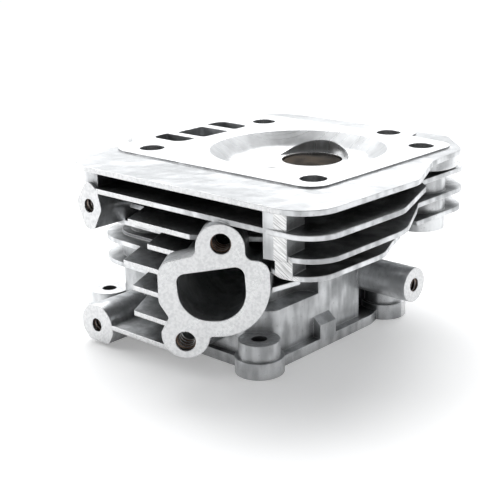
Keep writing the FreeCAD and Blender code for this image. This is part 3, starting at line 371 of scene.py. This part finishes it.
skin_gloss = step_up(tree, skin.outputs["Cloud"], 0.0, 1.0, 0.50, 0.36)
clean_gloss = step_up(tree, arcs.outputs["Tone"], 0.3, 0.7, 0.32, 0.27)
gloss = add(tree, "ShaderNodeMix", {0: clean, 2: skin_gloss, 3: clean_gloss})
tree.links.new(gloss.outputs[0], shader.inputs["Roughness"])
marks = add(tree, "ShaderNodeMix", {0: bowl, 2: arcs.outputs["Height"], 3: rings.outputs["Height"]})
fine = maths(tree, "MULTIPLY", maths(tree, "MULTIPLY", marks.outputs[0], brightest), 0.003)
relief = add(tree, "ShaderNodeMix", {0: clean, 2: skin.outputs["Height"], 3: fine})
cuts = maths(tree, "MULTIPLY", maths(tree, "MULTIPLY", score.outputs[0], sawn), 0.5)
bump(tree, shader, maths(tree, "ADD", relief.outputs[0], cuts), 0.25 * MM, edges.outputs["Normal"])
print(cast.name, "has", len(tree.nodes), "nodes")

# %% [markdown]
# ## Steel pieces
# The seats and valves are ground steel, the guides reamed iron, the rocker gear blackened or plated. They
# share one recipe: a dark and a light tone mixed by the lathe rings, a stain from a slow noise, and rounded
# edges. Only the numbers differ, so one function makes them all.

# %% Turned and plated metals
def turned_metal(name, dark, light, centre, rough, pitch=0.25 * MM, stain=(0.2, 0.2, 0.2, 1.0), stained=0.3,
                 tint=(1.0, 1.0, 1.0, 1.0)):
    """Metal with lathe rings round centre, a slow stain, and edges lightened by wear and a painted highlight.
    """
    material, tree, shader = metal(name)
    rings = placed(tree, lathe_rings, Centre=centre, Pitch=pitch)
    edges = placed(tree, worn_and_highlit_edges, Radius=0.25 * MM, Gain=3.0)
    place = add(tree, "ShaderNodeTexCoord").outputs["Object"]
    slow = add(tree, "ShaderNodeTexNoise", {"Vector": place, "Scale": 160.0, "Detail": 4.0})
    share = maths(tree, "MULTIPLY", step_up(tree, slow.outputs[0], 0.42, 0.68), stained)
    colour = mix(tree, rings.outputs["Tone"], dark, light)
    colour = mix(tree, share, colour, stain)
    # edges lightened for handling wear and as a painted highlight
    edge_wear_highlight = tuple(min(1.0, c * 1.4) for c in light[:3]) + (1.0,)
    colour = mix(tree, maths(tree, "MULTIPLY", edges.outputs["Edge"], 0.6), colour, edge_wear_highlight)
    tree.links.new(colour, shader.inputs["Base Color"])
    tree.links.new(step_up(tree, slow.outputs[0], 0.3, 0.7, rough * 0.8, rough * 1.25),
                   shader.inputs["Roughness"])
    bump(tree, shader, rings.outputs["Height"], 0.02 * MM, edges.outputs["Normal"])
    shader.inputs["Specular Tint"].default_value = tint
    return material


def rolled_metal(name, dark, light, rough, stain, stained, grain=700.0):
    """Plated, blackened or peened metal without lathe rings."""
    material, tree, shader = metal(name)
    edges = placed(tree, worn_and_highlit_edges, Radius=0.35 * MM, Gain=3.0)
    place = add(tree, "ShaderNodeTexCoord").outputs["Object"]
    slow = add(tree, "ShaderNodeTexNoise", {"Vector": place, "Scale": 110.0, "Detail": 5.0})
    fine = add(tree, "ShaderNodeTexNoise", {"Vector": place, "Scale": grain, "Detail": 3.0})
    colour = mix(tree, step_up(tree, slow.outputs[0], 0.35, 0.65), dark, light)
    share = maths(tree, "MULTIPLY", step_up(tree, fine.outputs[0], 0.5, 0.7), stained)
    colour = mix(tree, share, colour, stain)
    # edges lightened for handling wear and as a painted highlight
    edge_wear_highlight = tuple(min(1.0, c * 1.6) for c in light[:3]) + (1.0,)
    colour = mix(tree, maths(tree, "MULTIPLY", edges.outputs["Edge"], 0.7), colour, edge_wear_highlight)
    tree.links.new(colour, shader.inputs["Base Color"])
    tree.links.new(step_up(tree, fine.outputs[0], 0.3, 0.7, rough * 0.8, rough * 1.3),
                   shader.inputs["Roughness"])
    bump(tree, shader, fine.outputs[0], 0.03 * MM, edges.outputs["Normal"])
    return material


zinc = rolled_metal("zinc plate", (0.52, 0.47, 0.33, 1), (0.70, 0.65, 0.50, 1), 0.30,
                    (0.62, 0.50, 0.45, 1), 0.5)
black_steel = rolled_metal("blackened steel", grey(0.10, 0.03), grey(0.17, 0.04), 0.42, grey(0.26, 0.05), 0.5)
spring_wire = rolled_metal("spring wire", (0.07, 0.08, 0.075, 1), (0.14, 0.155, 0.145, 1), 0.38,
                           grey(0.30, 0.02), 0.4, grain=1500.0)
print("zinc, blackened steel and spring wire made")

# %% [markdown]
# The stem seal is the only soft piece: a moulded, oil-proof rubber cup. Rubber isn't a metal, so it starts
# from a plain Principled shader, dull and nearly black-green, with a faint bloom where the noise is high.

# %% Material: seal rubber
rubber = bpy.data.materials.new("seal rubber")
rubber.use_nodes = True
tree = rubber.node_tree
shader = tree.nodes["Principled BSDF"]
shader.inputs["Specular IOR Level"].default_value = 0.4
place = add(tree, "ShaderNodeTexCoord").outputs["Object"]
bloom = add(tree, "ShaderNodeTexNoise", {"Vector": place, "Scale": 500.0, "Detail": 4.0})
edges = placed(tree, worn_and_highlit_edges, Radius=0.3 * MM, Gain=2.0)
tree.links.new(mix(tree, step_up(tree, bloom.outputs[0], 0.4, 0.75), (0.018, 0.035, 0.022, 1),
                   (0.06, 0.085, 0.065, 1)), shader.inputs["Base Color"])
tree.links.new(step_up(tree, bloom.outputs[0], 0.3, 0.7, 0.55, 0.75), shader.inputs["Roughness"])
bump(tree, shader, bloom.outputs[0], 0.04 * MM, edges.outputs["Normal"])
print(rubber.name, "made")

# %% [markdown]
# Each CAD piece gets its material by name. The turned pieces of each valve need rings round their own axis,
# so that metal is made once for each side. The valves are painted near black with a brown tint: a heat
# film, plus painted shade that stands for the dark port below each seat, so they show as dark discs inside
# the bright seats.

# %% Give every CAD piece its material
def clothe(piece, material):
    """Leaves one material on a piece."""
    piece.data.materials.clear()
    piece.data.materials.append(material)


for side in SIDES:
    axis = Vector((VALVE_X, VALVE_Y[side], 0.0)) * MM
    seat = turned_metal(side + " seat steel", grey(0.52), grey(0.72), axis, 0.26, stained=0.15)
    # painted shade: the valve is near black to stand for the shaded port below its seat, with a brown heat
    # film
    valve = turned_metal(side + " valve steel with painted shade", grey(0.055, 0.05), grey(0.085, 0.05), axis, 0.48,
                         stain=(0.10, 0.085, 0.07, 1.0), stained=0.6, tint=grey(0.25, 0.04))
    guide = turned_metal(side + " guide iron", grey(0.26, 0.02), grey(0.36, 0.02), axis, 0.38)
    turned = turned_metal(side + " blackened turning", grey(0.12, 0.03), grey(0.20, 0.03), axis, 0.36)
    finishes = {
        "valve_seat": seat, "valve": valve, "valve_guide": guide, "spring_retainer": turned,
        "valve_collets": turned, "spring_seat": zinc, "rocker_stud": zinc, "adjuster_nut": zinc,
        "rocker_pivot": black_steel, "rocker_arm": black_steel}
    for piece, material in finishes.items():
        clothe(nodes[side + "_" + piece], material)
clothe(nodes["head_casting"], cast)
clothe(nodes["pushrod_guide_plate"], zinc)
clothe(nodes["intake_stem_seal"], rubber)
print("materials in use:", len([m for m in bpy.data.materials if m.users]))

# %% [markdown]
# ## Threads
# A tapped hole is a V-shaped ridge winding up a plain bore. It follows a path, so Geometry Nodes make it: a
# Spiral gives the path, a four-sided profile swept along it gives the ridge, and only its inner half stands
# out of the wall. The tree takes the bore, the pitch, the depth and the ridge as named inputs. One tree
# serves the M8, M6 and M14 holes.

# %% Geometry Nodes: a wound ridge
def new_shape_tree(name, inputs):
    """An empty geometry tree with named inputs and one geometry output."""
    tree = bpy.data.node_groups.new(name, "GeometryNodeTree")
    tree.interface.new_socket("Geometry", in_out="OUTPUT", socket_type="NodeSocketGeometry")
    for socket, kind, value in inputs:
        made = tree.interface.new_socket(socket, in_out="INPUT", socket_type=kind)
        if value is not None:
            made.default_value = value
    start = tree.nodes.new("NodeGroupInput")
    end = tree.nodes.new("NodeGroupOutput")
    return tree, start.outputs, end.inputs["Geometry"]


def finish_tree(tree, geometry, material, end):
    """Realize Instances, then Set Material, then out."""
    real = add(tree, "GeometryNodeRealizeInstances", {"Geometry": geometry})
    painted = add(tree, "GeometryNodeSetMaterial", {"Geometry": real.outputs[0], "Material": material})
    tree.links.new(painted.outputs[0], end)


def shape_from(tree, name, **values):
    """Runs a geometry tree with these inputs and returns its result as a plain mesh."""
    holder = bpy.data.objects.new(name + " holder", bpy.data.meshes.new(name + " start"))
    bpy.context.scene.collection.objects.link(holder)
    modifier = holder.modifiers.new(name, "NODES")
    modifier.node_group = tree
    for item in tree.interface.items_tree:
        if item.in_out == "INPUT" and item.name in values:
            modifier[item.identifier] = values[item.name]
    ready = holder.evaluated_get(bpy.context.evaluated_depsgraph_get())
    mesh = bpy.data.meshes.new_from_object(ready)
    mesh.name = name
    bpy.data.objects.remove(holder)
    return mesh


thread_tree, given, end = new_shape_tree("wound ridge", [
    ("Bore", FLOAT, 4.0 * MM), ("Pitch", FLOAT, 1.25 * MM), ("Depth", FLOAT, 18 * MM),
    ("Ridge", FLOAT, 0.6 * MM), ("Metal", "NodeSocketMaterial", None)])
turns = maths(thread_tree, "DIVIDE", given["Depth"], given["Pitch"])
path = add(thread_tree, "GeometryNodeCurveSpiral", {
    "Resolution": 32, "Rotations": turns, "Start Radius": given["Bore"], "End Radius": given["Bore"],
    "Height": given["Depth"]})
level = add(thread_tree, "GeometryNodeSetCurveNormal", {"Curve": path.outputs[0]}, mode="Z_UP")
square = add(thread_tree, "GeometryNodeCurvePrimitiveCircle", {"Resolution": 4, "Radius": given["Ridge"]})
vee = add(thread_tree, "GeometryNodeTransform", {"Geometry": square.outputs[0], "Scale": (1.0, 1.8, 1.0)})
ridge = add(thread_tree, "GeometryNodeCurveToMesh", {
    "Curve": level.outputs[0], "Profile Curve": vee.outputs[0], "Fill Caps": True})
position = add(thread_tree, "GeometryNodeInputPosition").outputs[0]
spot = add(thread_tree, "ShaderNodeSeparateXYZ", {0: position})
from_axis = maths(thread_tree, "SQRT", maths(
    thread_tree, "ADD", maths(thread_tree, "POWER", spot.outputs[0], 2.0),
    maths(thread_tree, "POWER", spot.outputs[1], 2.0)))
crest = maths(thread_tree, "DIVIDE", maths(thread_tree, "SUBTRACT", given["Bore"], from_axis), given["Ridge"],
              clamp=True)
marked = add(thread_tree, "GeometryNodeStoreNamedAttribute", {
    "Geometry": ridge.outputs[0], "Name": "crest", "Value": crest}, data_type="FLOAT", domain="POINT")
finish_tree(thread_tree, marked.outputs[0], given["Metal"], end)
print(thread_tree.name, "has", len(thread_tree.nodes), "nodes")

# %% [markdown]
# A freshly tapped hole keeps a trace of cutting oil, which dries to a thin brown film between the threads.
# The tree stored a `crest` number on each point, 1 on the ridge's tip and 0 at its foot. The material reads
# it, and so the metal is bright on the crests and dark copper-brown in the roots: the film, deepened as
# painted shade.

# %% Material: tapped thread
thread_metal, tree, shader = metal("tapped thread", 0.3)
edges = placed(tree, worn_and_highlit_edges, Radius=0.15 * MM, Gain=3.0)
place = add(tree, "ShaderNodeTexCoord").outputs["Object"]
film = add(tree, "ShaderNodeTexNoise", {"Vector": place, "Scale": 300.0, "Detail": 3.0})
# roots: a dried brown oil film, darkened further as painted shade
root_film_and_shade = mix(tree, step_up(tree, film.outputs[0], 0.35, 0.65), (0.10, 0.055, 0.035, 1), (0.22, 0.16, 0.12, 1))
crest = add(tree, "ShaderNodeAttribute", attribute_name="crest").outputs["Fac"]
colour = mix(tree, step_up(tree, crest, 0.35, 0.95), root_film_and_shade, grey(0.95))
tree.links.new(colour, shader.inputs["Base Color"])
bump(tree, shader, film.outputs[0], 0.02 * MM, edges.outputs["Normal"])
print(thread_metal.name, "made")

# %% Wind the threads into their holes
# each tapped hole: mouth, way out, bore radius, pitch and depth of thread, in millimetres
TAPPED = [
    (Vector((34.248, -78.103, -18.6)), FLANGE_OUT, 4.0, 2.4, 9.6),
    (Vector((22.288, -86.478, -58.1)), FLANGE_OUT, 4.0, 2.4, 9.6),
    (Vector((-43.3, -76.2, -17.6)), FRONT, 3.0, 1.8, 11.0),
    (Vector((-43.3, -76.2, -71.1)), FRONT, 3.0, 1.8, 11.0),
    (Vector((55.4, 19.6, -57.0)), RIGHT, 3.0, 1.8, 11.0),
    (Vector((-39.6, 73.8, -35.0)), BACK, 3.0, 1.8, 9.0),
    (Vector((10.4, 73.8, -35.0)), BACK, 3.0, 1.8, 9.0),
    (Vector((40.52, 6.8, -21.71)), PLUG_OUT, 7.0, 2.4, 10.0),
]


def join(name, meshes, body):
    """One object on a body from several meshes that are already in place."""
    welded = bmesh.new()
    for mesh in meshes:
        welded.from_mesh(mesh)
    bmesh.ops.recalc_face_normals(welded, faces=welded.faces)
    joined = bpy.data.meshes.new(name)
    welded.to_mesh(joined)
    welded.free()
    joined.materials.append(meshes[0].materials[0])
    piece = bpy.data.objects.new(name, joined)
    bpy.context.scene.collection.objects.link(piece)
    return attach(piece, body)


windings = []
for number, (mouth, way, bore, pitch, depth) in enumerate(TAPPED):
    ridge = pitch * 0.267
    winding = shape_from(thread_tree, "winding", Bore=bore * MM, Pitch=pitch * MM, Depth=depth * MM,
                         Ridge=ridge * MM, Metal=thread_metal)
    inner = min(math.hypot(v.co.x, v.co.y) for v in winding.vertices)
    print("bore", bore, "crest", round(inner / MM, 2))
    foot = (mouth - way * (depth + ridge * 1.9)) * MM
    winding.transform(Matrix.Translation(foot) @ UP.rotation_difference(way).to_matrix().to_4x4())
    windings.append(winding)
threads = join("tapped_threads", windings, "head")
print(threads.name, "has", len(threads.data.polygons), "faces in", len(TAPPED), "holes")

# %% [markdown]
# ## Valve springs
# A valve spring has closed ends: the last coil at each end lies flat against its neighbour and is ground
# level. The same kind of tree makes it, with one more step: a remap of each point's height that packs the
# end coils and sets them a little past both ends, where a flat cut grinds them.

# %% Geometry Nodes: a closed and ground spring
SPRING_FOOT = -45.2
SPRING_TALL = 20.8
SPRING_R = 9.9
WIRE_R = 1.2
spring_tree, given, end = new_shape_tree("ground spring", [
    ("Mean radius", FLOAT, SPRING_R * MM), ("Wire radius", FLOAT, WIRE_R * MM),
    ("Height", FLOAT, SPRING_TALL * MM), ("Turns", FLOAT, 5.5), ("Metal", "NodeSocketMaterial", None)])
path = add(spring_tree, "GeometryNodeCurveSpiral", {
    "Resolution": 40, "Rotations": given["Turns"], "Start Radius": given["Mean radius"],
    "End Radius": given["Mean radius"], "Height": 1.0})
spot = add(spring_tree, "GeometryNodeInputPosition")
spot_parts = add(spring_tree, "ShaderNodeSeparateXYZ", {0: spot.outputs[0]})
share = spot_parts.outputs[2]
end_turn = maths(spring_tree, "DIVIDE", 0.4, given["Turns"])
packed = maths(spring_tree, "MULTIPLY", given["Wire radius"], 1.15)
inset = maths(spring_tree, "MULTIPLY", given["Wire radius"], 0.8)
room = maths(spring_tree, "SUBTRACT", given["Height"], maths(
    spring_tree, "ADD", packed, maths(spring_tree, "MULTIPLY", inset, 2.0)))
open_part = add(spring_tree, "ShaderNodeMapRange", {
    "Value": share, "From Min": end_turn, "From Max": maths(spring_tree, "SUBTRACT", 1.0, end_turn)})
rise = maths(spring_tree, "MULTIPLY", open_part.outputs[0], room)
lead = maths(spring_tree, "MULTIPLY", share, packed)
height = maths(spring_tree, "ADD", maths(spring_tree, "ADD", rise, lead), inset)
moved = add(spring_tree, "ShaderNodeCombineXYZ", {
    0: spot_parts.outputs[0], 1: spot_parts.outputs[1], 2: height})
wound = add(spring_tree, "GeometryNodeSetPosition", {
    "Geometry": path.outputs[0], "Position": moved.outputs[0]})
wire = add(spring_tree, "GeometryNodeCurvePrimitiveCircle", {
    "Resolution": 20, "Radius": given["Wire radius"]})
coil = add(spring_tree, "GeometryNodeCurveToMesh", {
    "Curve": wound.outputs[0], "Profile Curve": wire.outputs[0], "Fill Caps": True})
position = add(spring_tree, "GeometryNodeInputPosition").outputs[0]
skin_spot = add(spring_tree, "ShaderNodeSeparateXYZ", {0: position})
above_foot = maths(spring_tree, "MAXIMUM", skin_spot.outputs[2], 0.0)
level = maths(spring_tree, "MINIMUM", above_foot, given["Height"])
ground_spot = add(spring_tree, "ShaderNodeCombineXYZ", {
    0: skin_spot.outputs[0], 1: skin_spot.outputs[1], 2: level})
ground = add(spring_tree, "GeometryNodeSetPosition", {
    "Geometry": coil.outputs[0], "Position": ground_spot.outputs[0]})
smooth = add(spring_tree, "GeometryNodeSetShadeSmooth", {"Geometry": ground.outputs[0]})
finish_tree(spring_tree, smooth.outputs[0], given["Metal"], end)
print(spring_tree.name, "has", len(spring_tree.nodes), "nodes")

# %% Set both springs in place
for side in SIDES:
    mesh = shape_from(spring_tree, side + " coil", Metal=spring_wire, **{
        "Mean radius": SPRING_R * MM, "Wire radius": WIRE_R * MM, "Height": SPRING_TALL * MM, "Turns": 5.5})
    mesh.transform(Matrix.Translation(
        Vector((VALVE_X, VALVE_Y[side], SPRING_FOOT - SPRING_TALL)) * MM))
    spring = join(side + "_coil_spring", [mesh], "head")
    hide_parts(side + "_valve_spring")
    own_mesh(spring)
    low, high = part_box(side + "_valve_spring")
    print(spring.name, [round(v / MM, 1) for v in spring.dimensions])
    print("its CAD stand-in", [round(v / MM, 1) for v in high - low])

# %% [markdown]
# ## Floor and light
# A small bright part looks best on a pale sweep under one large soft light, so that its machined faces go
# almost white and its gaps stay dark. The floor is nearly white and glows a little, which keeps the shadow
# light. The sky is bright behind the part, which the flat top reflects, and dimmer in front and overhead,
# because upright walls and the bowl need something darker to reflect.

# %% Floor
FLOOR_Z = -80.0 * MM
mesh = bpy.data.meshes.new("studio_floor")
half = 6.0
corners = [(x * half, y * half, FLOOR_Z) for x, y in ((-1, -1), (1, -1), (1, 1), (-1, 1))]
mesh.from_pydata(corners, [], [(0, 1, 2, 3)])
floor = bpy.data.objects.new("studio_floor", mesh)
bpy.context.scene.collection.objects.link(floor)
paper = bpy.data.materials.new("pale paper")
paper.use_nodes = True
shader = paper.node_tree.nodes["Principled BSDF"]
shader.inputs["Base Color"].default_value = (0.90, 0.90, 0.90, 1)
shader.inputs["Roughness"].default_value = 0.8
shader.inputs["Emission Color"].default_value = (1.0, 1.0, 1.0, 1)
shader.inputs["Emission Strength"].default_value = 0.30
mesh.materials.append(paper)
print("floor at", FLOOR_Z)

# %% Sky and lamps
scene = bpy.context.scene
scene.view_settings.view_transform = "Standard"
world = bpy.data.worlds.new("studio")
scene.world = world
world.use_nodes = True
tree = world.node_tree
way = add(tree, "ShaderNodeTexCoord").outputs["Generated"]
ahead = vector_maths(tree, "DOT_PRODUCT", way, (-0.674, 0.738, 0.25))
glow = step_up(tree, ahead, -0.20, 0.65, 0.15, 1.08)
tree.nodes["Background"].inputs["Color"].default_value = (0.97, 0.985, 1.0, 1.0)
tree.links.new(glow, tree.nodes["Background"].inputs["Strength"])

# each lamp: name, place, size and power
LAMPS = [
    ("overhead softbox", (-0.55, 0.60, 1.15), 1.40, 21.0),
    ("left strip", (-0.75, -0.45, 0.35), 0.50, 2.0),
]
for name, spot, size, power in LAMPS:
    data = bpy.data.lights.new(name, "AREA")
    data.size = size
    data.energy = power
    lamp = bpy.data.objects.new(name, data)
    lamp.location = spot
    lamp.rotation_euler = (-Vector(spot)).to_track_quat("-Z", "Y").to_euler()
    scene.collection.objects.link(lamp)
print("lamps:", [lamp[0] for lamp in LAMPS])

# %% [markdown]
# ## Camera
# The view is from the exhaust side and a little above, at about 18 degrees. Three angles and a place fix it:
# the azimuth round the part, the elevation, and a small roll.

# %% Camera
AZIMUTH, ELEVATION, ROLL = (math.radians(a) for a in (42.397, 17.761, -1.115))
level_out = math.cos(ELEVATION)
back = Vector((math.sin(AZIMUTH) * level_out, -math.cos(AZIMUTH) * level_out, math.sin(ELEVATION)))
side_way = Vector((math.cos(AZIMUTH), math.sin(AZIMUTH), 0.0))
top_way = side_way.cross(-back)
right = side_way * math.cos(ROLL) + top_way * math.sin(ROLL)
top = top_way * math.cos(ROLL) - side_way * math.sin(ROLL)
camera = bpy.data.objects.new("camera", bpy.data.cameras.new("camera"))
turn = Matrix((right, top, back)).transposed().to_4x4()
camera.matrix_world = Matrix.Translation((0.30120, -0.35439, 0.10182)) @ turn
camera.data.lens = 78.15
camera.data.sensor_width = 36.0
scene.collection.objects.link(camera)
scene.camera = camera
print("camera at", [round(v, 3) for v in camera.location])
